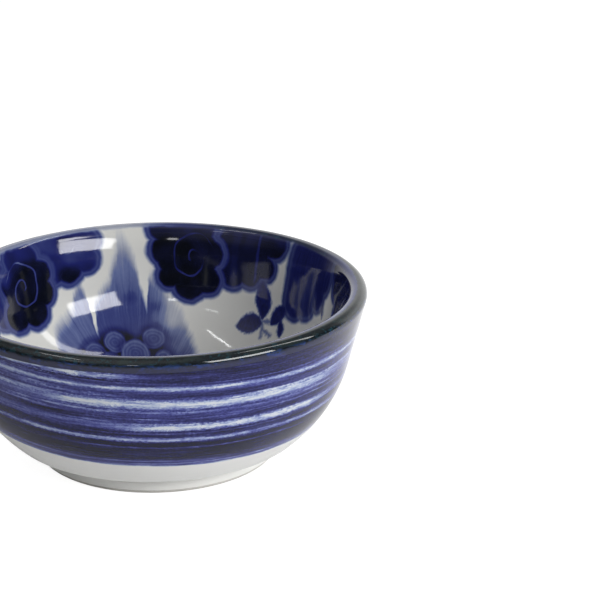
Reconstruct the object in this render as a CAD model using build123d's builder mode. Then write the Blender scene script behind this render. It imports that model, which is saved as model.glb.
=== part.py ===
"""Small porcelain sauce dish: a turned body on a foot ring, clear glazed, with a dark glaze on the lip.

Sizes are in millimetres. +Z is up, and the origin is the centre of the circle the dish stands on.
"""

import os
from math import atan2, cos, radians, sin, tan

from build123d import *

os.makedirs("parts", exist_ok=True)

# Outside sizes of the finished dish, over its glaze
RIM_DIAMETER = 95.0
HEIGHT = 38.8
LIP_THICKNESS = 4.0

# Glaze coats
CLEAR_GLAZE = 0.3
LIP_GLAZE = 0.3
LIP_BAND_OUTSIDE = 2.7
LIP_BAND_INSIDE = 1.8
GLAZE_POOL_RADIUS = 1.0

# Unglazed body: lean is from upright, rise is from level, both in degrees
LIP_ROUND_SHARE = 0.42
WALL_LEAN = 14.4
INNER_WALL_LEAN = 11.5
INNER_LIP_LEAN = 26.0
LIP_FLARE_DEPTH = 4.2
LIP_FLARE_RADIUS = 16.0
CONE_RISE = 41.4
BELLY_RADIUS = 32.0
BELLY_SHARE = 0.98
INNER_BELLY_RADIUS = 22.0
FLOOR_THICKNESS = 3.4
SHELF_DIAMETER = 66.4
SHELF_RISE = 1.2
SHELF_ROUNDING = 1.6

# Unglazed foot ring
FOOT_DIAMETER = 54.7
FOOT_HEIGHT = 4.6
FOOT_WIDTH = 3.8
FOOT_OUTER_DRAFT = 4.0
FOOT_INNER_DRAFT = 12.0
FOOT_ROUNDING = 0.7
BARE_EDGE = 0.9

lean = radians(WALL_LEAN)
inner_lean = radians(INNER_WALL_LEAN)
lip_lean = radians(INNER_LIP_LEAN)
rise = radians(CONE_RISE)

# The lip is a flat top with both corners rounded, and its outer round touches the rim diameter
body_lip = LIP_THICKNESS - 2 * LIP_GLAZE
lip_round = LIP_ROUND_SHARE * body_lip
top_z = HEIGHT - LIP_GLAZE
lip_outer_r = RIM_DIAMETER / 2 - LIP_GLAZE - lip_round + lip_round * (1 + sin(lean)) / cos(lean)
lip_inner_r = lip_outer_r - body_lip


def outer_wall_point(z):
    """Point of the straight outer wall at height z."""
    return (lip_outer_r - (top_z - z) * tan(lean), z)


def lip_flare_point(z):
    """Point of the lip's flared inner side at height z."""
    return (lip_inner_r - (top_z - z) * tan(lip_lean), z)


def inner_wall_point(z):
    """Point of the straight inner wall at height z, below the lip's flare."""
    return (flare_corner[0] - (flare_corner[1] - z) * tan(inner_lean), z)


# Foot ring corners; the body's flat underside sits on the ring's top face
foot_outer_top_r = FOOT_DIAMETER / 2 - FOOT_HEIGHT * tan(radians(FOOT_OUTER_DRAFT))
foot_inner_top_r = foot_outer_top_r - FOOT_WIDTH
foot_inner_bottom_r = foot_inner_top_r + FOOT_HEIGHT * tan(radians(FOOT_INNER_DRAFT))
foot_root = (foot_outer_top_r, FOOT_HEIGHT)
foot_inner_root = (foot_inner_top_r, FOOT_HEIGHT)

# The glaze stops at the bare edge on both sides of the ring
bare_outer = (FOOT_DIAMETER / 2 - BARE_EDGE * tan(radians(FOOT_OUTER_DRAFT)), BARE_EDGE)
bare_inner = (foot_inner_bottom_r - BARE_EDGE * tan(radians(FOOT_INNER_DRAFT)), BARE_EDGE)

# Body corners, before rounding
base_centre = (0, FOOT_HEIGHT)
shelf_edge = (SHELF_DIAMETER / 2, FOOT_HEIGHT + SHELF_RISE)
belly_z = (
    lip_outer_r - top_z * tan(lean) - shelf_edge[0] + shelf_edge[1] / tan(rise)
) / (1 / tan(rise) - tan(lean))
belly_corner = outer_wall_point(belly_z)
band_outer = outer_wall_point(HEIGHT - LIP_BAND_OUTSIDE)
lip_outer = (lip_outer_r, top_z)
lip_inner = (lip_inner_r, top_z)
band_inner = lip_flare_point(HEIGHT - LIP_BAND_INSIDE)
flare_corner = lip_flare_point(HEIGHT - LIP_FLARE_DEPTH)
floor_corner = inner_wall_point(FOOT_HEIGHT + FLOOR_THICKNESS)
floor_centre = (0, FOOT_HEIGHT + FLOOR_THICKNESS)

# The belly's rounding ends before the cone runs into the shelf
belly_turn = radians(90 - WALL_LEAN - CONE_RISE)
shelf_turn = rise - atan2(SHELF_RISE, shelf_edge[0] - foot_outer_top_r)
shelf_trim = SHELF_ROUNDING * tan(shelf_turn / 2)
cone_length = (belly_corner[1] - shelf_edge[1]) / sin(rise) - shelf_trim
belly_round = min(BELLY_RADIUS, BELLY_SHARE * cone_length / tan(belly_turn / 2))

# Half sections of the body's faces as (radius, height), shared by the body and the coats on it
with BuildLine() as outer_face:
    FilletPolyline(
        foot_root, shelf_edge, belly_corner, band_outer, radius=(SHELF_ROUNDING, belly_round)
    )

with BuildLine() as lip_face:
    FilletPolyline(band_outer, lip_outer, lip_inner, band_inner, radius=lip_round)

with BuildLine() as inner_face:
    FilletPolyline(
        band_inner,
        flare_corner,
        floor_corner,
        floor_centre,
        radius=(LIP_FLARE_RADIUS, INNER_BELLY_RADIUS),
    )

with BuildLine() as foot_outer_face:
    Line(bare_outer, foot_root)

with BuildLine() as base_face:
    Polyline(bare_inner, foot_inner_root, base_centre)

# Fired clay body
with BuildPart() as porcelain_body:
    with BuildSketch(Plane.XZ):
        with BuildLine():
            add(outer_face.line)
            add(lip_face.line)
            add(inner_face.line)
            Polyline(floor_centre, base_centre, foot_root)
        make_face()
    revolve(axis=Axis.Z)

# Ring the dish stands on, with a rounded and unglazed contact edge
with BuildPart() as foot_ring:
    with BuildSketch(Plane.XZ):
        with BuildLine():
            FilletPolyline(
                foot_inner_root,
                (foot_inner_bottom_r, 0),
                (FOOT_DIAMETER / 2, 0),
                foot_root,
                radius=FOOT_ROUNDING,
            )
            Line(foot_root, foot_inner_root)
        make_face()
    revolve(axis=Axis.Z)

# Clear glaze outside, from the bare edge of the foot to the lip band, pooled in the foot's corner
with BuildPart() as outer_glaze:
    with BuildSketch(Plane.XZ) as outer_coat:
        with BuildLine():
            add(foot_outer_face.line)
            add(outer_face.line)
            offset(amount=CLEAR_GLAZE, side=Side.RIGHT)
        make_face()
        fillet(outer_coat.vertices().sort_by_distance(foot_root)[1], GLAZE_POOL_RADIUS)
    revolve(axis=Axis.Z)

# Clear glaze inside, from the lip band to the middle of the floor
with BuildPart() as inner_glaze:
    with BuildSketch(Plane.XZ):
        with BuildLine():
            add(inner_face.line)
            offset(amount=CLEAR_GLAZE, side=Side.RIGHT)
        make_face()
    revolve(axis=Axis.Z)

# Dark glaze over the lip
with BuildPart() as lip_glaze:
    with BuildSketch(Plane.XZ):
        with BuildLine():
            add(lip_face.line)
            offset(amount=LIP_GLAZE, side=Side.RIGHT)
        make_face()
    revolve(axis=Axis.Z)

# Clear glaze under the dish, inside the foot ring, pooled in its corner
with BuildPart() as base_glaze:
    with BuildSketch(Plane.XZ) as base_coat:
        with BuildLine():
            add(base_face.line)
            offset(amount=CLEAR_GLAZE, side=Side.LEFT)
        make_face()
        fillet(base_coat.vertices().sort_by_distance(foot_inner_root)[1], GLAZE_POOL_RADIUS)
    revolve(axis=Axis.Z)

porcelain_body.part.label = "porcelain_body"
foot_ring.part.label = "foot_ring"
outer_glaze.part.label = "outer_glaze"
inner_glaze.part.label = "inner_glaze"
lip_glaze.part.label = "lip_glaze"
base_glaze.part.label = "base_glaze"

export_step(porcelain_body.part, "parts/porcelain_body.step")
export_step(foot_ring.part, "parts/foot_ring.step")
export_step(outer_glaze.part, "parts/outer_glaze.step")
export_step(inner_glaze.part, "parts/inner_glaze.step")
export_step(lip_glaze.part, "parts/lip_glaze.step")
export_step(base_glaze.part, "parts/base_glaze.step")
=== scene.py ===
"""Small porcelain sauce dish, glazed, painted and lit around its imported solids.

Meshes are in metres. Inside the painted patterns, lengths are millimetres and turns are degrees.
"""

from math import asin, atan2, ceil, cos, pi, radians, sin, tau

import bpy
import numpy as np
from bpy.props import FloatProperty, FloatVectorProperty, IntProperty, PointerProperty
from mathutils import Matrix, Quaternion, Vector


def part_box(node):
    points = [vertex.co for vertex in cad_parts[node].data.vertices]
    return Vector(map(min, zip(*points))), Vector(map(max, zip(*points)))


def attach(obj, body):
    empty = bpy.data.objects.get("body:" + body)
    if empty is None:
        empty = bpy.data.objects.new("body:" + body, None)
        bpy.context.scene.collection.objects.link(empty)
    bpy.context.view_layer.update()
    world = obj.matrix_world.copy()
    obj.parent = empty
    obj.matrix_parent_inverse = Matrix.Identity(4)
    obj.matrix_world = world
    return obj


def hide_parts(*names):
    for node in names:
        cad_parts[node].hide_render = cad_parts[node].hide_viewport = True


bl_info = {
    "name": "Sauce dish",
    "version": (1, 0, 0),
    "blender": (4, 5, 0),
    "location": "View3D > Sidebar > Dish",
    "description": "Glazes, paints and lights a small porcelain sauce dish",
    "category": "Object",
}

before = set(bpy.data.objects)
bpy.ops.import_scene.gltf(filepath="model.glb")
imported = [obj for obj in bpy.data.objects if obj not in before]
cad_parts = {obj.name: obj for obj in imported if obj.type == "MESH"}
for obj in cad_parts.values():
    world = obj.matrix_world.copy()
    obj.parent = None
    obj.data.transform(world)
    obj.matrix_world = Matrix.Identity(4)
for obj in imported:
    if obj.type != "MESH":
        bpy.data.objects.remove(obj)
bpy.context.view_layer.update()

# Rim's height, radius of the lip's crest, lean of its inner side, depth of its core under the crest
MM = 0.001
RIM_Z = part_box("lip_glaze")[1].z
LIP_TOP_R = 0.0458
LIP_LEAN = radians(26.0)
LIP_CORE = 0.0025

# Spun coats: merge distance, hole at the axis until it is filled, least turn of a sharp corner, wave widths
MERGE = 1e-6
HOLE_R = 0.0009
SHARP = radians(50.0)
WALL_WAVE = 0.026
GLAZE_WAVE = 0.005

# Picture's width in pixels, sensor's width in millimetres, lamps' distance
PHOTO_SIDE = 600
SENSOR = 36.0
LAMP_DISTANCE = 0.9

# Floor: its own light to the camera, in mirrors and added in mirrors behind, and the paper's share there
FLOOR_GLOW = 0.90
MIRROR_GLOW = 0.12
FAR_MIRROR_GLOW = 0.85
PAPER_SHARE = 0.4

# Room: light from overhead and from all round
OVERHEAD = 0.18
DIM = 0.02


def colour(name, words, value):
    """Colour property in linear values."""
    return FloatVectorProperty(
        name=name, description=words, subtype="COLOR", size=3, min=0.0, max=1.0, default=value
    )


class DishShape(bpy.types.PropertyGroup):
    """Fineness and hand-made unevenness of the coats."""

    steps: IntProperty(name="Turn steps", description="Steps of each spun coat", default=150, min=24)
    segment: FloatProperty(
        name="Segment", description="Longest segment of a section", default=0.0016, unit="LENGTH"
    )
    unevenness: FloatProperty(
        name="Unevenness", description="Slow swell of the walls", default=0.00014, unit="LENGTH"
    )
    ripple: FloatProperty(
        name="Ripple", description="Fine ripple of the glaze", default=0.00002, unit="LENGTH"
    )


class DishColours(bpy.types.PropertyGroup):
    """Colours of the glaze and of the cobalt under it, from bare to thickest."""

    # Painted shade: ground is the same white glaze as brush_ground, given darker and greyer. It is used
    # inside, on the lip and under the dish.
    ground: colour("Ground", "White glaze with no cobalt", (0.80, 0.80, 0.765))
    haze: colour("Haze", "Thinnest cobalt", (0.55, 0.575, 0.64))
    pale: colour("Pale", "Thin cobalt", (0.36, 0.39, 0.50))
    wash: colour("Wash", "Cobalt wash", (0.158, 0.20, 0.40))
    cobalt: colour("Cobalt", "Full cobalt", (0.048, 0.064, 0.225))
    deep: colour("Deep", "Thick cobalt", (0.016, 0.021, 0.15))
    navy: colour("Navy", "Thicker cobalt", (0.008, 0.010, 0.045))
    ink: colour("Ink", "Thickest cobalt", (0.004, 0.005, 0.010))
    brush_ground: colour("Brush ground", "White glaze outside", (0.93, 0.93, 0.905))
    brush_haze: colour("Brush haze", "Thinnest brushed cobalt", (0.55, 0.63, 0.79))
    brush_pale: colour("Brush pale", "Thin brushed cobalt", (0.33, 0.40, 0.67))
    brush_wash: colour("Brush wash", "Brushed cobalt wash", (0.155, 0.185, 0.50))
    brush_cobalt: colour("Brush cobalt", "Full brushed cobalt", (0.062, 0.070, 0.30))
    brush_deep: colour("Brush deep", "Thick brushed cobalt", (0.028, 0.030, 0.145))
    brush_ink: colour("Brush ink", "Thickest brushed cobalt", (0.006, 0.007, 0.020))
    brush_navy: colour("Brush navy", "Thicker brushed cobalt", (0.010, 0.011, 0.060))
    lip_black: colour("Lip black", "Thick lip glaze", (0.010, 0.014, 0.018))
    lip_olive: colour("Lip olive", "Thin lip glaze", (0.020, 0.032, 0.032))
    lip_teal: colour("Lip teal", "Flecks in the lip glaze", (0.014, 0.050, 0.066))
    lip_navy: colour("Lip navy", "Lip glaze thinned over the cobalt", (0.042, 0.046, 0.090))
    lip_blue: colour("Lip blue", "Lip glaze run into the cobalt", (0.03, 0.07, 0.30))
    clay: colour("Clay", "Bare fired clay", (0.72, 0.70, 0.66))
    gloss: FloatProperty(name="Gloss", description="Roughness of the glaze", default=0.07, subtype="FACTOR")


class DishStage(bpy.types.PropertyGroup):
    """Floor, lamps and camera."""

    floor: colour("Floor", "Pale floor", (0.97, 0.97, 0.97))
    key: FloatProperty(name="Key", description="Light of the front right softbox", default=1.9)
    side: FloatProperty(name="Side", description="Light of the tall panel at the right", default=0.40)
    strip: FloatProperty(name="Strip", description="Light of the high strip at the left", default=0.12)
    front_strip: FloatProperty(name="Front strip", description="Light of the strip in front", default=0.018)
    front_lamp: FloatProperty(name="Front lamp", description="Light of the small front lamp", default=0.036)
    sweep: FloatProperty(name="Sweep", description="Brightness of the sweep behind", default=1.15)
    high: FloatProperty(name="High", description="Brightness high at the left", default=0.35)
    elevation: FloatProperty(
        name="Elevation", description="Camera above the horizon", default=radians(21.463), subtype="ANGLE"
    )
    roll: FloatProperty(
        name="Roll", description="Camera roll", default=radians(-1.416), subtype="ANGLE"
    )
    distance: FloatProperty(
        name="Distance", description="Camera to the middle of the dish", default=0.45125, unit="LENGTH"
    )
    aim: FloatProperty(
        name="Aim", description="Height that the camera turns about", default=0.01924, unit="LENGTH"
    )
    focal: FloatProperty(name="Focal", description="Focal length in picture widths", default=3.306235)
    across: FloatProperty(name="Across", description="Dish's middle in the picture", default=156.67)
    down: FloatProperty(name="Down", description="Dish's middle in the picture", default=365.211)


# Spun coats


def choose(piece, test, kind="vertices"):
    """Select the elements that a test picks, in edit mode."""
    bpy.ops.mesh.select_mode(type="VERT" if kind == "vertices" else "EDGE")
    bpy.ops.mesh.select_all(action="DESELECT")
    bpy.ops.object.mode_set(mode="OBJECT")
    for item in getattr(piece.data, kind):
        item.select = test(item)
    bpy.ops.object.mode_set(mode="EDIT")


def section_of(name, node):
    """New piece in edit mode, holding the half section of a CAD node as a wire brought near the axis."""
    bpy.ops.object.select_all(action="DESELECT")
    piece = bpy.data.objects.new(name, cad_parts[node].data.copy())
    bpy.context.scene.collection.objects.link(piece)
    piece.data.name = name
    piece.data.materials.clear()
    piece.select_set(True)
    bpy.context.view_layer.objects.active = piece
    bpy.ops.object.mode_set(mode="EDIT")
    bpy.ops.mesh.select_mode(type="VERT")
    bpy.ops.mesh.select_all(action="SELECT")
    bpy.ops.mesh.remove_doubles(threshold=MERGE)
    choose(piece, lambda v: abs(v.co.y) > MERGE or v.co.x < 0)
    bpy.ops.mesh.delete(type="VERT")
    bpy.ops.object.mode_set(mode="OBJECT")
    meets = np.bincount(np.array([e.vertices for e in piece.data.edges]).ravel())
    bpy.ops.object.mode_set(mode="EDIT")
    choose(piece, lambda v: bool(meets[v.index] == 1))
    if piece.data.total_vert_sel:
        reach = max(v.co.x for v in piece.data.vertices if v.select)
        bpy.ops.mesh.extrude_vertices_move(TRANSFORM_OT_translate={"value": (0, 0, 0)})
        bpy.ops.transform.resize(value=(HOLE_R / reach, 1, 1), center_override=(0, 0, 0))
    return piece


def sharp_corners(piece):
    """Radius and height of the wire's sharp corners."""
    ways = {}
    for edge in piece.data.edges:
        a, b = edge.vertices
        way = (piece.data.vertices[b].co - piece.data.vertices[a].co).normalized()
        ways.setdefault(a, []).append(way)
        ways.setdefault(b, []).append(-way)
    turned = [i for i, met in ways.items() if len(met) == 2 and met[0].angle(-met[1]) > SHARP]
    return [(piece.data.vertices[i].co.x, piece.data.vertices[i].co.z) for i in turned]


def spin_section(piece, shape):
    """Divide the wire's long segments, spin it round the axis and smooth it."""

    def cuts(edge):
        a, b = (piece.data.vertices[i].co for i in edge.vertices)
        return ceil((a - b).length / shape.segment - MERGE) - 1

    bpy.ops.object.mode_set(mode="OBJECT")
    wanted = sorted({cuts(e) for e in piece.data.edges} - {0, -1})
    bpy.ops.object.mode_set(mode="EDIT")
    for count in wanted:
        choose(piece, lambda e: cuts(e) == count, "edges")
        bpy.ops.mesh.subdivide(number_cuts=count)
    bpy.ops.object.mode_set(mode="OBJECT")
    corners = sharp_corners(piece)
    bpy.ops.object.mode_set(mode="EDIT")
    bpy.ops.mesh.select_mode(type="VERT")
    bpy.ops.mesh.select_all(action="SELECT")
    bpy.ops.mesh.spin(steps=shape.steps, angle=tau, center=(0, 0, 0), axis=(0, 0, 1))
    bpy.ops.mesh.select_all(action="SELECT")
    bpy.ops.mesh.remove_doubles(threshold=MERGE)

    def on_corner(edge):
        a, b = (piece.data.vertices[i].co for i in edge.vertices)
        near, far = a.xy.length, b.xy.length
        return any(
            abs(near - r) + abs(far - r) + abs(a.z - z) + abs(b.z - z) < 0.01 * MM for r, z in corners
        )

    choose(piece, on_corner, "edges")
    bpy.ops.transform.edge_crease(value=1.0)
    bpy.ops.mesh.mark_sharp()
    bpy.ops.object.mode_set(mode="OBJECT")
    apply_modifier(piece, "SUBSURF", levels=1, render_levels=1)
    bpy.ops.object.mode_set(mode="EDIT")
    bpy.ops.mesh.select_all(action="SELECT")
    bpy.ops.mesh.fill_holes(sides=0)
    bpy.ops.mesh.normals_make_consistent(inside=False)
    bpy.ops.object.mode_set(mode="OBJECT")


def apply_modifier(piece, kind, **settings):
    """Add a modifier and apply it."""
    modifier = piece.modifiers.new(kind.lower(), kind)
    for name, value in settings.items():
        setattr(modifier, name, value)
    bpy.ops.object.modifier_apply(modifier=modifier.name)


def places(piece):
    """Radius and height of every vertex, and how far its normal points outward and up, as arrays."""
    count = len(piece.data.vertices)
    spot, lean = np.empty(count * 3), np.empty(count * 3)
    piece.data.vertices.foreach_get("co", spot)
    piece.data.vertices.foreach_get("normal", lean)
    spot, lean = spot.reshape(-1, 3), lean.reshape(-1, 3)
    radius = np.hypot(spot[:, 0], spot[:, 1])
    out = (spot[:, 0] * lean[:, 0] + spot[:, 1] * lean[:, 1]) / np.maximum(radius, MERGE)
    return radius, spot[:, 2], out, lean[:, 2]


def swell(piece, shown, shape):
    """Uneven the shown side of a coat, slowly over the wall and finely in the glaze."""
    group = piece.vertex_groups.new(name="shown")
    group.add([int(i) for i in np.flatnonzero(shown)], 1.0, "REPLACE")
    waves = (("wall", WALL_WAVE, shape.unevenness), ("glaze", GLAZE_WAVE, shape.ripple))
    for name, size, depth in waves:
        pattern = bpy.data.textures.new(f"{piece.name}_{name}", "CLOUDS")
        pattern.noise_scale = size
        pattern.noise_depth = 1
        apply_modifier(
            piece,
            "DISPLACE",
            texture=pattern,
            texture_coords="LOCAL",
            strength=depth,
            mid_level=0.5,
            vertex_group="shown",
        )
    piece.vertex_groups.clear()


def keep_drop(piece, values):
    """Store on each vertex how far it lies below the rim along the surface, in millimetres."""
    held = piece.data.attributes.new("drop", "FLOAT", "POINT")
    held.data.foreach_set("value", np.asarray(values, np.float32))


def finish_piece(piece, material, node):
    """Smooth a piece, give it its material and set it in the frame in place of its CAD node."""
    bpy.ops.object.shade_smooth()
    piece.data.materials.append(material)
    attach(piece, "root")
    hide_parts(node)


# Numbers and patterns made of nodes


class Flow:
    """A number that nodes work out over the surface. Sums on it add Math nodes."""

    def __init__(self, tree, socket):
        self.tree = tree
        self.socket = socket

    def __add__(self, other):
        return sum_of(self.tree, "ADD", self, other)

    def __sub__(self, other):
        return sum_of(self.tree, "SUBTRACT", self, other)

    def __rsub__(self, other):
        return sum_of(self.tree, "SUBTRACT", other, self)

    def __mul__(self, other):
        return sum_of(self.tree, "MULTIPLY", self, other)

    def __truediv__(self, other):
        return sum_of(self.tree, "DIVIDE", self, other)


def add_node(tree, kind, *values, **settings):
    """Add a node, with its settings and its first inputs."""
    made = tree.nodes.new(kind)
    for name, value in settings.items():
        setattr(made, name, value)
    for slot, value in zip(made.inputs, values):
        feed(tree, slot, value)
    return made


def feed(tree, slot, value):
    """Link a flow to a socket, or set the socket's own value."""
    if isinstance(value, Flow):
        tree.links.new(value.socket, slot)
    elif value is not None:
        slot.default_value = value


def sum_of(tree, operation, *values):
    return Flow(tree, add_node(tree, "ShaderNodeMath", *values, operation=operation).outputs[0])


def least(a, b):
    return sum_of(a.tree, "MINIMUM", a, b)


def most(a, b):
    return sum_of(a.tree, "MAXIMUM", a, b)


def size_of(a):
    return sum_of(a.tree, "ABSOLUTE", a)


def part_of(a):
    return sum_of(a.tree, "FRACT", a)


def length_of(a, b):
    return sum_of(a.tree, "SQRT", a * a + b * b)


def turn_of(b, a):
    """Angle of the point (a, b), in turns from -0.5 to 0.5."""
    return sum_of(a.tree, "ARCTAN2", b, a) / tau


def slope(a, start, end):
    """Rise smoothly from 0 to 1 as a goes from start to end."""
    made = add_node(
        a.tree, "ShaderNodeMapRange", a, start, end, interpolation_type="SMOOTHSTEP", clamp=True
    )
    return Flow(a.tree, made.outputs[0])


def between(a, b, share):
    """Value between a and b."""
    made = add_node(share.tree, "ShaderNodeMix", share, data_type="FLOAT")
    feed(share.tree, made.inputs[2], a)
    feed(share.tree, made.inputs[3], b)
    return Flow(share.tree, made.outputs[0])


def tint(share, a, b):
    """Colour between two colours."""
    made = add_node(share.tree, "ShaderNodeMix", share, data_type="RGBA")
    for slot, value in ((made.inputs[6], a), (made.inputs[7], b)):
        feed(share.tree, slot, value if isinstance(value, Flow) else (*value, 1.0))
    return Flow(share.tree, made.outputs[2])


def spot_at(a, b, c=0.0):
    """Vector of three numbers."""
    tree = a.tree
    return Flow(tree, add_node(tree, "ShaderNodeCombineXYZ", a, b, c).outputs[0])


def grain(where, scale, detail=2.0, rough=0.5):
    """Cloudy noise around 0, about from -0.5 to 0.5."""
    made = add_node(where.tree, "ShaderNodeTexNoise", where)
    made.inputs["Scale"].default_value = scale
    made.inputs["Detail"].default_value = detail
    made.inputs["Roughness"].default_value = rough
    return Flow(where.tree, made.outputs[0]) - 0.5


def drawn_curve(a, low, high, top, points):
    """Read a curve drawn through the given points over a from low to high; its values go from 0 to top."""
    made = add_node(a.tree, "ShaderNodeFloatCurve")
    feed(a.tree, made.inputs[1], (a - low) / (high - low))
    line = made.mapping.curves[0]
    line.points[0].location = ((points[0][0] - low) / (high - low), points[0][1] / top)
    line.points[1].location = ((points[-1][0] - low) / (high - low), points[-1][1] / top)
    for at, value in points[1:-1]:
        line.points.new((at - low) / (high - low), value / top)
    for point in line.points:
        point.handle_type = "AUTO_CLAMPED"
    made.mapping.update()
    return Flow(a.tree, made.outputs[0]) * top


def object_place(tree):
    """Place on the dish in millimetres, as one vector and as x, y and z."""
    where = add_node(tree, "ShaderNodeTexCoord").outputs["Object"]
    scaled = add_node(tree, "ShaderNodeVectorMath", operation="SCALE")
    tree.links.new(where, scaled.inputs[0])
    scaled.inputs["Scale"].default_value = 1 / MM
    vector = Flow(tree, scaled.outputs[0])
    split = add_node(tree, "ShaderNodeSeparateXYZ", vector)
    return vector, *(Flow(tree, out) for out in split.outputs)


def drop_of(tree):
    """Millimetres below the rim along the surface."""
    held = add_node(tree, "ShaderNodeAttribute", attribute_name="drop", attribute_type="GEOMETRY")
    return Flow(tree, held.outputs["Fac"])


def cobalt_colour(density, colours, kind=""):
    """Colour of the glaze over cobalt of a given thickness, from 0 for none to 1 for the thickest."""
    made = add_node(density.tree, "ShaderNodeValToRGB", density)
    ramp = made.color_ramp
    stops = (
        (0.0, getattr(colours, kind + "ground")),
        (0.15, getattr(colours, kind + "haze")),
        (0.30, getattr(colours, kind + "pale")),
        (0.45, getattr(colours, kind + "wash")),
        (0.60, getattr(colours, kind + "cobalt")),
        (0.75, getattr(colours, kind + "deep")),
        (0.88, getattr(colours, kind + "navy")),
        (1.0, getattr(colours, kind + "ink")),
    )
    while len(ramp.elements) < len(stops):
        ramp.elements.new(0.5)
    for element, (at, value) in zip(ramp.elements, stops):
        element.position = at
        element.color = (*value, 1.0)
    return Flow(density.tree, made.outputs[0])


def new_glaze(name):
    """Empty node material with its tree and shader."""
    material = bpy.data.materials.new(name)
    material.use_nodes = True
    tree = material.node_tree
    return material, tree, tree.nodes["Principled BSDF"]


def gloss_over(tree, shader, where, colours, peel=0.025):
    """Glassy surface: gloss that varies a little and a faint peel."""
    feed(tree, shader.inputs["Roughness"], grain(where, 0.35) * 0.05 + colours.gloss)
    shader.inputs["IOR"].default_value = 1.55
    bump = add_node(tree, "ShaderNodeBump")
    bump.inputs["Strength"].default_value = peel
    bump.inputs["Distance"].default_value = 0.1 * MM
    feed(tree, bump.inputs["Height"], grain(where, 0.9, 1.0))
    tree.links.new(bump.outputs[0], shader.inputs["Normal"])


# Painted inside: places are degrees round the dish and millimetres down from the rim

# Millimetres per degree on the wall and low down
WALL_SCALE = 0.70
LOW_SCALE = 0.62

# Lobes, petals and blots: turn, drop and radius
LEFT_WING = (
    (125.2, 8.9, 4.0), (120.0, 8.8, 4.6), (113.6, 7.3, 4.1), (120.0, 3.0, 6.5), (113.5, 2.5, 4.6),
    (126.5, 3.0, 6.0), (130.0, 4.0, 5.0),
)
LEFT_CLOUD = (
    (138.5, 10.5, 8.0), (144.6, 16.0, 5.0), (136.4, 16.5, 5.0), (131.4, 13.0, 4.3), (131.6, 8.0, 4.4),
    (138.0, 4.0, 6.0), (144.5, 8.5, 4.6),
)
LEFT_LOBE = (
    (151.0, 13.0, 5.8), (151.5, 6.0, 5.4), (158.5, 12.6, 5.2), (165.5, 13.4, 5.2), (172.5, 12.2, 5.4),
    (159.0, 5.0, 5.6), (166.0, 5.0, 5.6), (173.0, 5.0, 5.6),
)
RIGHT_WING = (
    (62.0, 11.0, 4.6), (55.8, 10.6, 4.3), (50.2, 8.4, 4.0), (62.0, 3.0, 5.6), (54.0, 2.5, 5.6),
    (47.5, 2.6, 4.4), (61.0, 7.2, 5.2), (54.5, 6.6, 5.2), (64.5, 6.5, 5.0),
)
RIGHT_CLOUD = (
    (78.5, 7.5, 8.6), (86.0, 6.5, 4.6), (84.6, 12.8, 4.0), (77.5, 14.6, 5.0), (71.6, 13.4, 4.5),
    (71.0, 7.0, 4.6), (86.5, 1.0, 4.6), (77.0, 1.0, 6.0),
)
FAR_RIGHT_CLOUD = (
    (11.0, 1.0, 5.0), (5.0, 3.0, 6.8), (0.0, 4.0, 7.0), (0.0, 10.5, 6.0), (180.0, 10.5, 6.0),
    (180.0, 4.0, 7.0), (175.0, 3.0, 6.8), (169.0, 1.0, 5.0),
)
HANGING_CLOUD = ((34.0, 14.2, 4.7), (28.2, 13.6, 4.2), (22.8, 10.4, 4.3), (19.4, 6.6, 3.6))
PETALS = (
    (117.5, 31.0, 3.2), (111.0, 33.6, 2.6), (107.6, 28.8, 2.9), (91.0, 28.7, 2.9), (86.5, 34.4, 2.4),
    (124.0, 33.0, 2.8), (99.8, 32.8, 4.2),
)

# Plume: the point that its hairs fan from, and its upper edge, as turn and drop
PLUME_ROOT = (101.0, 75.0)
PLUME_TOP = (
    (70.0, 33.0), (74.0, 29.0), (77.5, 25.0), (80.0, 21.5), (83.0, 18.5), (86.0, 16.0), (89.0, 13.5),
    (91.6, 13.0), (92.6, 17.0), (93.2, 19.4), (94.0, 17.4), (95.4, 13.0), (96.6, 9.4), (98.2, 6.4),
    (99.8, 4.2), (101.4, 2.8), (102.6, 5.6), (104.0, 9.0), (105.6, 12.2), (107.6, 14.6), (110.0, 16.6),
    (112.4, 19.6), (113.6, 25.0), (114.4, 18.5), (115.6, 14.4), (117.4, 12.4), (119.0, 14.6), (121.0, 18.4),
    (125.0, 20.6), (129.0, 21.8), (131.6, 23.8), (133.0, 28.0),
)
BLOTS = (
    (103.6, 28.4, 4.2), (99.0, 17.8, 2.4), (89.6, 20.4, 2.4), (101.5, 26.6, 3.4), (113.0, 27.4, 3.0),
    (83.0, 28.5, 4.0),
)

# Leaves: turn, drop, half length, half width and tilt. Stems: turn and drop of both ends
LEAVES = (
    (48.7, 16.2, 5.0, 2.3, 104.0), (52.2, 22.4, 4.3, 2.6, 14.0), (40.8, 18.6, 3.3, 2.1, 60.0),
    (37.6, 21.6, 2.4, 1.1, -64.0), (17.0, 13.0, 1.8, 0.6, 100.0), (159.5, 23.6, 4.0, 2.2, 166.0),
    (167.0, 22.6, 3.3, 2.0, 60.0),
)
STEMS = (
    (47.6, 19.8, 45.2, 24.8), (47.2, 21.0, 43.0, 20.6), (46.2, 23.0, 41.0, 24.0), (49.2, 22.0, 46.6, 22.6),
    (163.0, 23.4, 164.5, 28.0),
)


def away(spot, turn, down, scale=WALL_SCALE):
    """Distance over the surface from a place of the painting."""
    made = add_node(spot.tree, "ShaderNodeVectorMath", spot, (turn * scale, down, 0.0), operation="DISTANCE")
    return Flow(spot.tree, made.outputs["Value"])


def outline(spot, lobes):
    """Distance to the outline of overlapping round lobes, negative inside."""
    edge = None
    for turn, down, radius in lobes:
        gap = away(spot, turn, down) - radius
        edge = gap if edge is None else least(edge, gap)
    return edge


def line_at(a, at, half):
    """1 on a thin line where a is near a value, 0 off it."""
    return slope(size_of(a - at), half, half * 0.25)


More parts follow.
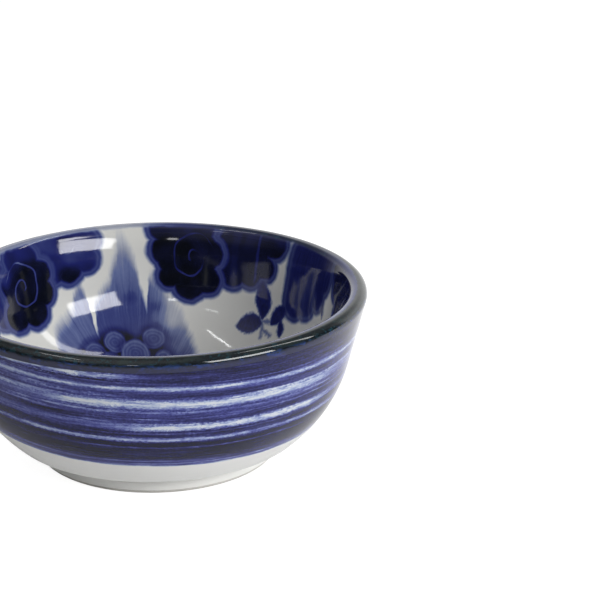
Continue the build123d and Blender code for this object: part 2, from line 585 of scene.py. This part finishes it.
def spiral(across, down, turn, depth, pitch, turns, hand):
    """Thin spiral line that grows scalloped outward."""
    x = (turn * WALL_SCALE - across) * hand
    y = (depth - down) * 0.84
    reach = length_of(x, y)
    angle = turn_of(y, x)
    wave = sum_of(x.tree, "COSINE", angle * (5 * tau)) * slope(reach, 2.5, 5.5) * 0.06
    phase = part_of(reach / pitch - angle + wave + 0.25) - 0.5
    ends = slope(reach, turns * pitch, turns * pitch - 0.4) * slope(reach, 0.4, 0.8)
    return slope(size_of(phase) * pitch, 0.34, 0.08) * ends


def lay_cloud(density, edge, fill, lines=None):
    """Paint a cloud over what is there: a soft cobalt border, a hair line and a filled middle."""
    body = slope(edge, 0.80, -0.40)
    middle = slope(edge, -0.70, -1.80)
    tone = between(slope(edge, 0.1, -0.6) * 0.04 + 0.59, fill, middle) - line_at(edge, -0.95, 0.40) * 0.05
    if lines is not None:
        tone = tone - lines * 0.33
    return between(density, tone, body)


def painting_group():
    """Node group that gives the cobalt's thickness over the painted inside."""
    tree = bpy.data.node_groups.new("cloud_painting", "ShaderNodeTree")
    tree.interface.new_socket("Density", in_out="OUTPUT", socket_type="NodeSocketFloat")
    end = tree.nodes.new("NodeGroupOutput")
    where, x, y, _ = object_place(tree)
    wobble = add_node(tree, "ShaderNodeTexNoise", where)
    wobble.inputs["Scale"].default_value = 0.33
    shake = add_node(tree, "ShaderNodeSeparateColor")
    tree.links.new(wobble.outputs["Color"], shake.inputs[0])
    turn = sum_of(tree, "FLOORED_MODULO", turn_of(y, x) * 360.0, 180.0)
    turn = turn + (Flow(tree, shake.outputs[0]) - 0.5) * 1.4
    down = drop_of(tree) + (Flow(tree, shake.outputs[1]) - 0.5) * 1.0
    across = turn * WALL_SCALE
    spot = spot_at(across, down)
    low_spot = spot_at(turn * LOW_SCALE, down)
    patch = grain(where, 0.16, 1.0)
    streak = grain(spot_at(turn * 1.1, down * 0.10), 1.0, 3.0, 0.6)

    # Brushed plume: a wash that thickens downward, drawn with fanning hairs
    lean = turn_of((turn - PLUME_ROOT[0]) * LOW_SCALE, PLUME_ROOT[1] - down) * tau
    hair = grain(spot_at(lean * 44.0, down * 0.045), 1.0, 3.0, 0.6)
    fine = grain(spot_at(lean * 150.0, down * 0.08), 1.0, 2.0, 0.6)
    room = down - drawn_curve(turn, 70.0, 133.0, 40.0, PLUME_TOP) + hair * 3.0 + fine * 1.6
    room = least(room, (turn - 71.0) * 1.0)
    room = least(room, (133.0 - turn) * 1.2)
    spread = (turn - PLUME_ROOT[0]) / 31.0
    room = least(room, 41.0 - spread * spread * 3.5 - down + hair * 4.0 + fine * 2.0)
    tone = slope(down, 5.0, 24.0) * 0.21 + 0.41 + hair * 0.20 + fine * 0.14
    tone = tone - slope(turn, 87.0, 84.0) * slope(down, 27.0, 23.5) * 0.18 - slope(turn, 111.0, 118.0) * 0.10
    tone = tone - slope(turn, 94.0, 84.0) * slope(down, 36.0, 24.0) * 0.22
    density = slope(room / (slope(down, 15.0, 4.0) * 0.8 + 1.0), -2.2, 3.2) * tone
    for turn_at, depth, radius in BLOTS:
        density = density + slope(away(low_spot, turn_at, depth, LOW_SCALE), radius, 0.0) * 0.09

    # Round petals with brushed rings and dark gaps
    for turn_at, depth, radius in PETALS:
        gap = away(low_spot, turn_at, depth, LOW_SCALE)
        density = density + slope(gap, radius + 2.4, radius) * slope(density, 0.2, 0.5) * 0.19
        rings = sum_of(tree, "SINE", gap * 6.5) * 0.030
        petal = rings + 0.63 + hair * 0.12 - slope(gap, radius * 0.1, radius) * 0.08
        density = between(density, petal, slope(gap, radius + 0.45, radius - 0.45))

    # Clouds with scalloped edges
    density = lay_cloud(density, outline(spot, LEFT_LOBE), patch * 0.3 + 0.72)
    fill = patch * 0.45 + 0.74 + slope(away(spot, 120.0, 10.6), 4.2, 1.2) * 0.20
    fill = fill - line_at(away(spot, 119.4, 3.4), 1.6, 0.35) * slope(down, 3.6, 4.4) * 0.12
    density = lay_cloud(density, outline(spot, LEFT_WING), fill)
    density = density - slope(away(spot, 147.2, 11.5), 3.4, 0.8) * 0.16
    fill = patch * 0.30 + 0.78 + slope(down + patch * 8.0, 4.0, 10.0) * 0.20
    density = lay_cloud(
        density, outline(spot, LEFT_CLOUD), fill, spiral(across, down, 139.4, 10.6, 3.6, 1.62, 1.0)
    )
    fill = patch * 0.25 + 0.92 - line_at(across, 53.6 * WALL_SCALE, 0.5) * slope(down, 13.0, 11.0) * 0.16
    fill = fill - line_at(across, 62.0 * WALL_SCALE, 1.6) * 0.06 - slope(down, 4.0, 1.0) * 0.08
    density = lay_cloud(density, outline(spot, RIGHT_WING), fill)
    density = lay_cloud(
        density,
        outline(spot, RIGHT_CLOUD),
        patch * 0.3 + 0.97 - slope(down, 5.0, 1.0) * 0.10,
        spiral(across, down, 77.0, 8.4, 3.5, 1.62, -1.0) * slope(patch, -0.2, 0.2),
    )

    # Streaked hanging cloud with long lobes
    edge = None
    for turn_at, depth, radius in HANGING_CLOUD:
        lobe = length_of(across - turn_at * WALL_SCALE, most(down - depth, 0.0)) - radius
        edge = lobe if edge is None else least(edge, lobe)
    density = lay_cloud(density, edge, streak * 0.24 + 0.76)
    density = lay_cloud(density, outline(spot, FAR_RIGHT_CLOUD), streak * 0.25 + 0.86)

    # Leaf sprigs with feathered edges, a darker vein and faint stems
    feather = grain(spot_at(across * 1.5, down * 0.9), 1.0, 3.0, 0.6)
    for turn_at, depth, half, width, tilt in LEAVES:
        u = (across - turn_at * WALL_SCALE, down - depth)
        along = (u[0] * cos(radians(tilt)) + u[1] * sin(radians(tilt))) / half
        side = size_of(u[1] * cos(radians(tilt)) - u[0] * sin(radians(tilt)))
        gap = side - (1.0 - along * along) * width + feather * 1.2
        tone = feather * 0.30 + 0.80 - slope(gap, -1.4, 0.2) * 0.09
        shape = slope(gap, 0.60, -0.60) * slope(size_of(along), 1.15, 0.80)
        density = between(density, most(density, tone), shape)
    for near_turn, near, far_turn, far in STEMS:
        ax, ay = near_turn * WALL_SCALE, near
        dx, dy = far_turn * WALL_SCALE - ax, far - ay
        square = dx * dx + dy * dy
        along = ((across - ax) * dx + (down - ay) * dy) / square
        along = least(most(along, 0.0), 1.0)
        gap = length_of(across - ax - along * dx, down - ay - along * dy)
        density = most(density, slope(gap + feather * 1.6, 1.1, 0.0) * 0.46)

    density = least(most(density + grain(where, 1.3, 2.0) * 0.03, 0.0), 1.0)
    tree.links.new(density.socket, end.inputs[0])
    return tree


def painted_density(tree, group):
    """Cobalt's thickness of the painted inside, as a flow."""
    made = add_node(tree, "ShaderNodeGroup")
    made.node_tree = group
    return Flow(tree, made.outputs[0])


def painted_glaze(colours):
    """Clear glaze over the painted inside."""
    material, tree, shader = new_glaze("painted_glaze")
    where = object_place(tree)[0]
    density = painted_density(tree, bpy.data.node_groups["cloud_painting"])
    feed(tree, shader.inputs["Base Color"], cobalt_colour(density, colours))
    gloss_over(tree, shader, where, colours)
    return material


# Brushed outside: heights are millimetres above the table, along brush lines that tilt round the dish

BRUSH_TILT = 0.94
BRUSH_SPREAD = 0.03
BAND_FOOT = 11.9

# Cobalt by height, and dry strokes: height, half width, first and last turn, strength
BAND_INK = (
    (10.0, 0.64), (12.2, 0.66), (13.2, 0.70), (14.0, 0.84), (15.0, 0.94), (16.6, 0.94), (17.2, 0.86),
    (18.0, 0.94), (18.7, 0.82), (19.4, 0.66), (20.2, 0.82), (21.0, 0.86), (21.8, 0.68), (22.6, 0.56),
    (23.6, 0.64), (24.6, 0.80), (25.6, 0.68), (26.4, 0.70), (27.2, 0.58), (28.2, 0.48), (29.3, 0.56),
    (30.4, 0.76), (31.2, 0.70), (32.1, 0.56), (33.0, 0.76), (34.0, 0.84), (35.0, 0.78), (36.0, 0.86),
    (39.0, 0.88),
)
STROKES = (
    (34.8, 0.70, -150.0, -90.0, 0.58), (33.4, 0.16, -120.0, -20.0, 0.22), (32.1, 0.40, -165.0, 10.0, 0.34),
    (30.2, 0.22, -150.0, -90.0, 0.24), (29.3, 0.20, -80.0, 0.0, 0.24), (28.2, 0.95, -124.0, -28.0, 0.34),
    (26.3, 0.25, -140.0, -20.0, 0.24), (25.2, 0.18, -80.0, -10.0, 0.24), (24.6, 0.20, -120.0, -60.0, 0.22),
    (22.5, 0.72, -106.0, -30.0, 0.54), (23.9, 0.22, -120.0, -96.0, 0.28), (21.0, 0.16, -120.0, -40.0, 0.24),
    (19.4, 0.45, -165.0, -20.0, 0.36), (17.3, 0.18, -118.0, -30.0, 0.24), (13.4, 0.20, -150.0, -60.0, 0.16),
    (12.6, 0.18, -110.0, -20.0, 0.20), (32.1, 0.40, 20.0, 150.0, 0.38), (27.6, 0.90, 40.0, 140.0, 0.38),
    (22.3, 0.70, 60.0, 170.0, 0.50), (19.2, 0.45, 10.0, 160.0, 0.36), (33.3, 0.35, -172.0, -112.0, 0.26),
    (30.8, 0.30, -172.0, -108.0, 0.28), (28.9, 0.40, -170.0, -112.0, 0.24),
    (25.4, 0.28, -170.0, -110.0, 0.26),
)


def brushed_glaze(colours):
    """Clear glaze over a band brushed round in cobalt, with dry and worn strokes."""
    material, tree, shader = new_glaze("brushed_glaze")
    where, x, y, z = object_place(tree)
    angle = turn_of(y, x) * tau
    east, north = sum_of(tree, "COSINE", angle), sum_of(tree, "SINE", angle)
    height = z + east * (z * BRUSH_SPREAD + BRUSH_TILT)
    streak = grain(spot_at(east * 2.6, north * 2.6, height * 0.85), 1.0, 3.0, 0.6)
    hair = grain(spot_at(east * 5.0, north * 5.0, height * 3.4), 1.0, 4.0, 0.7)
    dry = grain(spot_at(east * 60.0, north * 60.0, height * 2.6), 1.0, 3.0, 0.9)
    worn = grain(spot_at(east * 10.0, north * 10.0, height * 0.9), 1.0, 3.0, 0.7)
    density = drawn_curve(height, 10.0, 39.0, 1.0, BAND_INK) + streak * 0.44 + hair * 0.74 - 0.02
    density = density + dry * (slope(height, 13.0, 21.0) * 0.38 + 0.15)
    course = height + streak * 0.7
    degrees = angle * (360 / tau)
    for at, half, start, end, strength in STROKES:
        line = slope(size_of(course - at) / half + dry * 3.4 + hair * 1.2, 1.7, 0.1)
        line = line * slope(degrees, start, start + 16.0) * slope(degrees, end, end - 16.0)
        density = density - line * (slope(worn + dry * 0.5, -0.20, 0.16) * 0.80 + 0.44) * strength
    density = least(most(density, 0.07), 1.0)
    density = density * slope(height + hair * 0.9 + dry * 0.3, BAND_FOOT - 0.3, BAND_FOOT + 0.3)
    feed(tree, shader.inputs["Base Color"], cobalt_colour(density, colours, "brush_"))
    gloss_over(tree, shader, where, colours)
    return material


def lip_glaze(colours):
    """Dark glaze from the crest outward, over the painting inside and into a flecked blue line outside."""
    material, tree, shader = new_glaze("lip_glaze")
    where, x, y, z = object_place(tree)
    reach = length_of(x, y)
    inward = LIP_TOP_R / MM - reach
    down = drop_of(tree)
    density = painted_density(tree, bpy.data.node_groups["cloud_painting"])
    cloudy = grain(spot_at(x * 0.22, y * 0.22, z * 0.7), 1.0, 3.0, 0.6)
    fleck = grain(spot_at(x * 0.8, y * 0.8, z * 1.6), 1.0, 3.0, 0.65)
    dark = tint(slope(cloudy + fleck * 0.3, -0.10, 0.22), colours.lip_black, colours.lip_olive)
    dark = tint(slope(fleck - cloudy * 0.6, 0.02, 0.24) * slope(down, -1.7, -0.9), dark, colours.lip_teal)
    streaked = tint(slope(cloudy + fleck * 0.8, -0.05, 0.30) * 0.5, colours.lip_navy, colours.brush_cobalt)
    dark = tint(slope(down + cloudy * 1.6, -1.2, -2.0), dark, streaked)
    run = slope(down + cloudy * 2.0 + fleck * 1.6, -0.6, -1.2) * slope(down + cloudy * 2.0, -2.1, -1.4)
    dark = tint(run * slope(cloudy + fleck * 0.7, -0.04, 0.16) * 0.6, dark, colours.lip_blue)
    back = slope(y, 5.0, 25.0)
    # Painted reflection: the lip's inner crest is painted paler at the back left, away from the camera.
    painted_reflection = back * slope(x + cloudy * 8.0, 8.0, -8.0)
    broken = slope(inward + cloudy * 0.8, 2.2, 1.6)
    under = cobalt_colour(between(density, density * 0.15 + 0.50 - painted_reflection * 0.25, broken), colours)
    cover = back * slope(x + cloudy * 8.0, 4.0, 20.0) * broken * 0.75
    cover = most(cover, slope(inward + cloudy * 0.6 + fleck * 0.3 + back * 0.5, 0.85, 0.15))
    coat = tint(cover, under, dark)
    feed(tree, shader.inputs["Base Color"], coat)
    gloss_over(tree, shader, where, colours)
    return material


def clear_glaze(colours):
    """White glaze with faint clouding and a few dark specks."""
    material, tree, shader = new_glaze("clear_glaze")
    where = object_place(tree)[0]
    density = slope(grain(where, 1.6, 1.0), 0.30, 0.36) * 0.15 + grain(where, 0.12) * 0.06 + 0.02
    feed(tree, shader.inputs["Base Color"], cobalt_colour(most(density, 0.0), colours))
    gloss_over(tree, shader, where, colours)
    return material


def bare_clay(name, colours):
    """Fired clay without glaze: matt, gritty, with faint turning marks."""
    material, tree, shader = new_glaze(name)
    where, x, y, z = object_place(tree)
    turned = grain(spot_at(length_of(x, y) * 3.0, z * 3.0), 1.0, 2.0)
    grit = grain(where, 5.0, 3.0, 0.6)
    shade = slope(grit + turned * 0.5, -0.3, 0.35)
    pale = tuple(colours.clay)
    feed(tree, shader.inputs["Base Color"], tint(shade, tuple(0.8 * c for c in pale), pale))
    feed(tree, shader.inputs["Roughness"], grit * 0.2 + 0.72)
    bump = add_node(tree, "ShaderNodeBump")
    bump.inputs["Strength"].default_value = 0.3
    bump.inputs["Distance"].default_value = 0.1 * MM
    feed(tree, bump.inputs["Height"], grit + turned)
    tree.links.new(bump.outputs[0], shader.inputs["Normal"])
    return material


# Operators


class DISH_OT_inner_coat(bpy.types.Operator):
    """Spin the inner coat and paint it"""

    bl_idname = "dish.inner_coat"
    bl_label = "Inner coat"

    def execute(self, context):
        shape, colours = context.scene.dish_shape, context.scene.dish_colours
        piece = section_of("inner_coat", "inner_glaze")
        spin_section(piece, shape)
        radius, height, out, up = places(piece)
        shown = up > out
        order = radius + height
        step = np.argsort(-order[shown])
        r, z, o = (a[shown][step] for a in (radius, height, order))
        lengths = np.hypot(np.diff(r), np.diff(z))
        run = np.concatenate(([0.0], np.cumsum(lengths)))
        keep_drop(piece, (np.interp(-order, -o, run) + (RIM_Z - height.max()) / cos(LIP_LEAN)) / MM)
        swell(piece, shown, shape)
        painting_group()
        finish_piece(piece, painted_glaze(colours), "inner_glaze")
        return {"FINISHED"}


class DISH_OT_outer_coat(bpy.types.Operator):
    """Spin the outer coat and brush it"""

    bl_idname = "dish.outer_coat"
    bl_label = "Outer coat"

    def execute(self, context):
        shape, colours = context.scene.dish_shape, context.scene.dish_colours
        piece = section_of("outer_coat", "outer_glaze")
        spin_section(piece, shape)
        out, up = places(piece)[2:]
        swell(piece, out > up, shape)
        finish_piece(piece, brushed_glaze(colours), "outer_glaze")
        return {"FINISHED"}


class DISH_OT_lip_coat(bpy.types.Operator):
    """Spin the dark coat of the lip"""

    bl_idname = "dish.lip_coat"
    bl_label = "Lip coat"

    def execute(self, context):
        shape, colours = context.scene.dish_shape, context.scene.dish_colours
        piece = section_of("lip_coat", "lip_glaze")
        spin_section(piece, shape)
        radius, height, out, up = places(piece)
        side = np.where(radius < LIP_TOP_R, 1 / cos(LIP_LEAN), -1.0)
        keep_drop(piece, side * (RIM_Z - height) / MM)
        swell(piece, (radius - LIP_TOP_R) * out + (height - RIM_Z + LIP_CORE) * up > 0, shape)
        finish_piece(piece, lip_glaze(colours), "lip_glaze")
        return {"FINISHED"}


class DISH_OT_base_coat(bpy.types.Operator):
    """Spin the clear coat under the dish"""

    bl_idname = "dish.base_coat"
    bl_label = "Base coat"

    def execute(self, context):
        shape, colours = context.scene.dish_shape, context.scene.dish_colours
        piece = section_of("base_coat", "base_glaze")
        spin_section(piece, shape)
        out, up = places(piece)[2:]
        swell(piece, -out > up, shape)
        finish_piece(piece, clear_glaze(colours), "base_glaze")
        return {"FINISHED"}


class DISH_OT_foot(bpy.types.Operator):
    """Spin the foot ring with its bare edge"""

    bl_idname = "dish.foot"
    bl_label = "Foot"

    def execute(self, context):
        shape, colours = context.scene.dish_shape, context.scene.dish_colours
        piece = section_of("foot", "foot_ring")
        spin_section(piece, shape)
        finish_piece(piece, bare_clay("bare_foot", colours), "foot_ring")
        return {"FINISHED"}


class DISH_OT_body(bpy.types.Operator):
    """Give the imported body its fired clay"""

    bl_idname = "dish.body"
    bl_label = "Body"

    def execute(self, context):
        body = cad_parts["porcelain_body"]
        body.data.materials.clear()
        body.data.materials.append(bare_clay("fired_clay", context.scene.dish_colours))
        return {"FINISHED"}


def softbox(name, turn, rise, width, height, light, lean=0.0):
    """Rectangular lamp facing the dish. Light is its share on a paper square that faces it."""
    data = bpy.data.lights.new(name, "AREA")
    data.shape = "RECTANGLE"
    data.size, data.size_y = width, height
    data.energy = light * pi * LAMP_DISTANCE * LAMP_DISTANCE
    lamp = bpy.data.objects.new(name, data)
    bpy.context.scene.collection.objects.link(lamp)
    turn, rise = radians(turn), radians(rise)
    toward = Vector((cos(turn) * cos(rise), sin(turn) * cos(rise), sin(rise)))
    lamp.location = toward * LAMP_DISTANCE + Vector((0, 0, RIM_Z / 2))
    lamp.rotation_euler = (toward.to_track_quat("Z", "Y") @ Quaternion((0, 0, 1), radians(lean))).to_euler()


def photo_camera(stage):
    """Camera that sees the dish where the picture has it, without shift."""
    width = PHOTO_SIDE
    focal = stage.focal * width
    e, roll = stage.elevation, stage.roll
    back = Vector((0, -cos(e), sin(e)))
    side = Vector((1, 0, 0))
    sight = -back
    over = side.cross(sight)
    du, dv = (stage.across - width / 2) / focal, (stage.down - width / 2) / focal
    c, s = cos(roll), sin(roll)
    aim = Vector((c * du + s * dv, -s * du + c * dv, 1)).normalized()
    yaw, pitch = atan2(aim.x, aim.z), -asin(aim.y)
    turn = Matrix.Rotation(yaw, 3, "Y") @ Matrix.Rotation(pitch, 3, "X")
    axes = Matrix((side, -over, sight))
    right = (c * turn[0] - s * turn[1]) @ axes
    low = (s * turn[0] + c * turn[1]) @ axes
    ahead = turn[2] @ axes
    data = bpy.data.cameras.new("photo_camera")
    data.sensor_width = SENSOR
    data.lens = stage.focal * SENSOR
    data.clip_start = 0.01
    camera = bpy.data.objects.new("photo_camera", data)
    bpy.context.scene.collection.objects.link(camera)
    spin = Matrix((right, -low, -ahead)).transposed()
    camera.matrix_world = Matrix.Translation(
        Vector((0, 0, stage.aim)) + back * stage.distance
    ) @ spin.to_4x4()
    bpy.context.scene.camera = camera


def floor_paint(stage):
    """Pale floor that reads white to the camera and in reflections, and keeps a soft shadow."""
    material = bpy.data.materials.new("pale_floor")
    material.use_nodes = True
    tree = material.node_tree
    tree.nodes.clear()
    rays = add_node(tree, "ShaderNodeLightPath")
    seen = Flow(tree, rays.outputs["Is Camera Ray"])
    through = Flow(tree, rays.outputs["Is Transmission Ray"])
    mirrored = most(Flow(tree, rays.outputs["Is Glossy Ray"]), through)
    paper = add_node(tree, "ShaderNodeBsdfDiffuse")
    pale, dim = tuple(stage.floor), tuple(PAPER_SHARE * c for c in stage.floor)
    feed(tree, paper.inputs["Color"], tint(most(seen, mirrored), pale, dim))
    glow = add_node(tree, "ShaderNodeEmission")
    x, y = object_place(tree)[1:3]
    behind = slope(y, -80.0, 60.0) * slope(x, -60.0, 20.0)
    glows = seen * FLOOR_GLOW + mirrored * (behind * FAR_MIRROR_GLOW + MIRROR_GLOW)
    feed(tree, glow.inputs["Strength"], glows)
    both = add_node(tree, "ShaderNodeAddShader")
    tree.links.new(paper.outputs[0], both.inputs[0])
    tree.links.new(glow.outputs[0], both.inputs[1])
    end = add_node(tree, "ShaderNodeOutputMaterial")
    tree.links.new(both.outputs[0], end.inputs[0])
    return material


def studio_world(stage):
    """Room round the stage: white to the camera, a pale sweep behind the dish, a dim room in front."""
    world = bpy.data.worlds.new("studio")
    world.use_nodes = True
    bpy.context.scene.world = world
    tree = world.node_tree
    rays = add_node(tree, "ShaderNodeLightPath")
    seen = Flow(tree, rays.outputs["Is Camera Ray"])
    way = add_node(tree, "ShaderNodeTexCoord").outputs["Generated"]
    split = add_node(tree, "ShaderNodeSeparateXYZ")
    tree.links.new(way, split.inputs[0])
    x, y, z = (Flow(tree, out) for out in split.outputs)
    behind = slope(y, 0.30, 0.55) * slope(x, -0.85, -0.50) * slope(z, 0.70, 0.20) * stage.sweep
    turn, rise = radians(-150.0), radians(60.0)
    toward = x * (cos(turn) * cos(rise)) + y * (sin(turn) * cos(rise)) + z * sin(rise)
    high = slope(toward, 0.70, 1.0) * stage.high
    room = behind + high + slope(z, 0.3, 0.95) * OVERHEAD + DIM
    feed(tree, tree.nodes["Background"].inputs["Strength"], between(room, 1.0, seen))
    tree.nodes["Background"].inputs["Color"].default_value = (1, 1, 1, 1)


class DISH_OT_stage(bpy.types.Operator):
    """Set the floor, the lamps, the room and the camera"""

    bl_idname = "dish.stage"
    bl_label = "Stage"

    def execute(self, context):
        stage = context.scene.dish_stage
        bpy.ops.object.select_all(action="DESELECT")
        bpy.ops.mesh.primitive_circle_add(vertices=96, radius=4.0, fill_type="NGON", location=(0, 0, 0))
        floor = context.active_object
        floor.name = "floor"
        floor.data.materials.append(floor_paint(stage))
        softbox("key_softbox", -45.0, 25.0, 0.55, 0.27, stage.key)
        softbox("side_panel", 13.0, 49.0, 0.08, 0.70, stage.side, -25.0)
        softbox("left_strip", 185.5, 62.0, 0.40, 0.022, stage.strip)
        softbox("front_strip", -136.0, 37.5, 0.14, 0.03, stage.front_strip)
        softbox("front_lamp", -102.5, 29.0, 0.08, 0.05, stage.front_lamp)
        studio_world(stage)
        photo_camera(stage)
        context.scene.view_settings.view_transform = "Standard"
        return {"FINISHED"}


STEPS = (
    DISH_OT_inner_coat,
    DISH_OT_outer_coat,
    DISH_OT_lip_coat,
    DISH_OT_base_coat,
    DISH_OT_foot,
    DISH_OT_body,
    DISH_OT_stage,
)


class DISH_PT_steps(bpy.types.Panel):
    """Steps of the dish in order"""

    bl_idname = "DISH_PT_steps"
    bl_label = "Sauce dish"
    bl_space_type = "VIEW_3D"
    bl_region_type = "UI"
    bl_category = "Dish"

    def draw(self, context):
        for step in STEPS:
            self.layout.operator(step.bl_idname)


CLASSES = (DishShape, DishColours, DishStage, *STEPS, DISH_PT_steps)


def register():
    for made in CLASSES:
        bpy.utils.register_class(made)
    bpy.types.Scene.dish_shape = PointerProperty(type=DishShape)
    bpy.types.Scene.dish_colours = PointerProperty(type=DishColours)
    bpy.types.Scene.dish_stage = PointerProperty(type=DishStage)


def unregister():
    del bpy.types.Scene.dish_stage
    del bpy.types.Scene.dish_colours
    del bpy.types.Scene.dish_shape
    for made in reversed(CLASSES):
        bpy.utils.unregister_class(made)


def main():
    register()
    bpy.ops.dish.inner_coat()
    bpy.ops.dish.outer_coat()
    bpy.ops.dish.lip_coat()
    bpy.ops.dish.base_coat()
    bpy.ops.dish.foot()
    bpy.ops.dish.body()
    bpy.ops.dish.stage()


if __name__ == "__main__":
    main()
